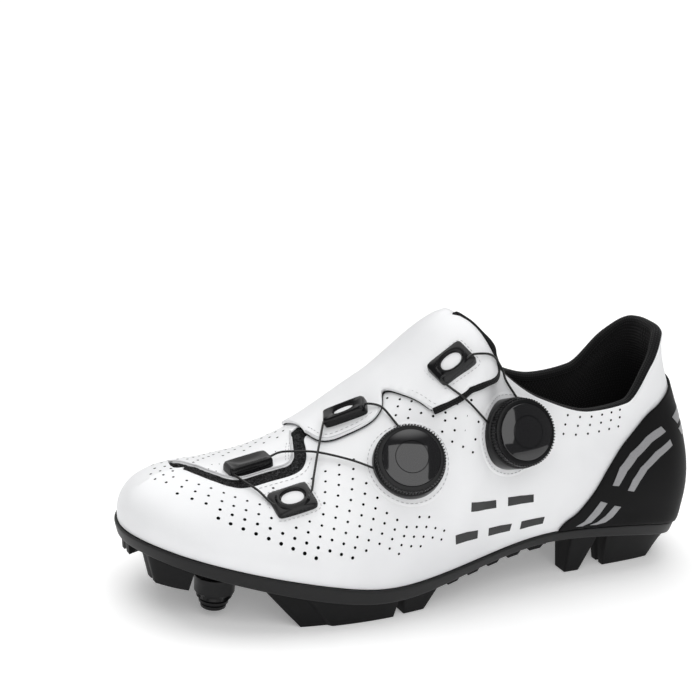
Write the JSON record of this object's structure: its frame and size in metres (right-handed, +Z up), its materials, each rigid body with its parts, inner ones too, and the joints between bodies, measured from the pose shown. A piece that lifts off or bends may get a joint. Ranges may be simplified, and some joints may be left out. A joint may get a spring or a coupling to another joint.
{
  "type": "off-road cycling shoe",
  "caption": "Low off-road cycling shoe for the left foot: hollow upper with a wrap flap and heel counter, tightening dials with wire lace and guides, stiff lugged sole with cleat slots.",
  "frame": {"origin": "middle of the footprint's box, on the floor plane that the lugs stand on", "axes": "+X from heel to toe, +Y to the wearer's left (the outer side of this left shoe), +Z up"},
  "size_m": [0.2782, 0.1006, 0.1192],
  "materials": {
    "white_upper": "smooth coated microfibre, satin, with fine perforations",
    "black_counter": "matt moulded counter with grey reflective bars",
    "black_mesh": "padded knit mesh",
    "insole_foam": "cloth-topped foam",
    "nylon_plate": "satin moulded nylon and carbon plate",
    "black_rubber": "matt moulded tread",
    "stud_black": "satin",
    "steel": "satin",
    "black_plastic": "gloss",
    "lace_wire": "coated steel wire, satin"
  },
  "bodies": {
    "root": {"upper": "white_upper", "wrap_flap": "white_upper", "tongue": "black_mesh", "heel_counter": "black_counter", "insole": "insole_foam", "sole_plate": "nylon_plate", "lug_toe_outer": "black_rubber", "lug_toe_inner": "black_rubber", "lug_ball_outer": "black_rubber", "lug_ball_inner": "black_rubber", "lug_arch_outer": "black_rubber", "lug_arch_inner": "black_rubber", "lug_heel_front_outer": "black_rubber", "lug_heel_front_inner": "black_rubber", "lug_heel_back_outer": "black_rubber", "lug_heel_back_inner": "black_rubber", "comb_outer": "black_rubber", "comb_inner": "black_rubber", "spine_pad": "black_rubber", "heel_pad": "black_rubber", "toe_stud_outer": "stud_black", "toe_stud_inner": "stud_black", "cleat_bolt_back_inner": "steel", "cleat_bolt_back_outer": "steel", "cleat_bolt_front_inner": "steel", "cleat_bolt_front_outer": "steel", "dial_front_base": "black_plastic", "dial_front_knob": "black_plastic", "dial_front_cap": "black_plastic", "dial_rear_base": "black_plastic", "dial_rear_knob": "black_plastic", "dial_rear_cap": "black_plastic", "guide_toe": "black_plastic", "guide_vamp": "black_plastic", "guide_middle": "black_plastic", "guide_strap": "black_plastic", "lace_front": "lace_wire", "lace_rear": "lace_wire"}
  },
  "joints": []
}
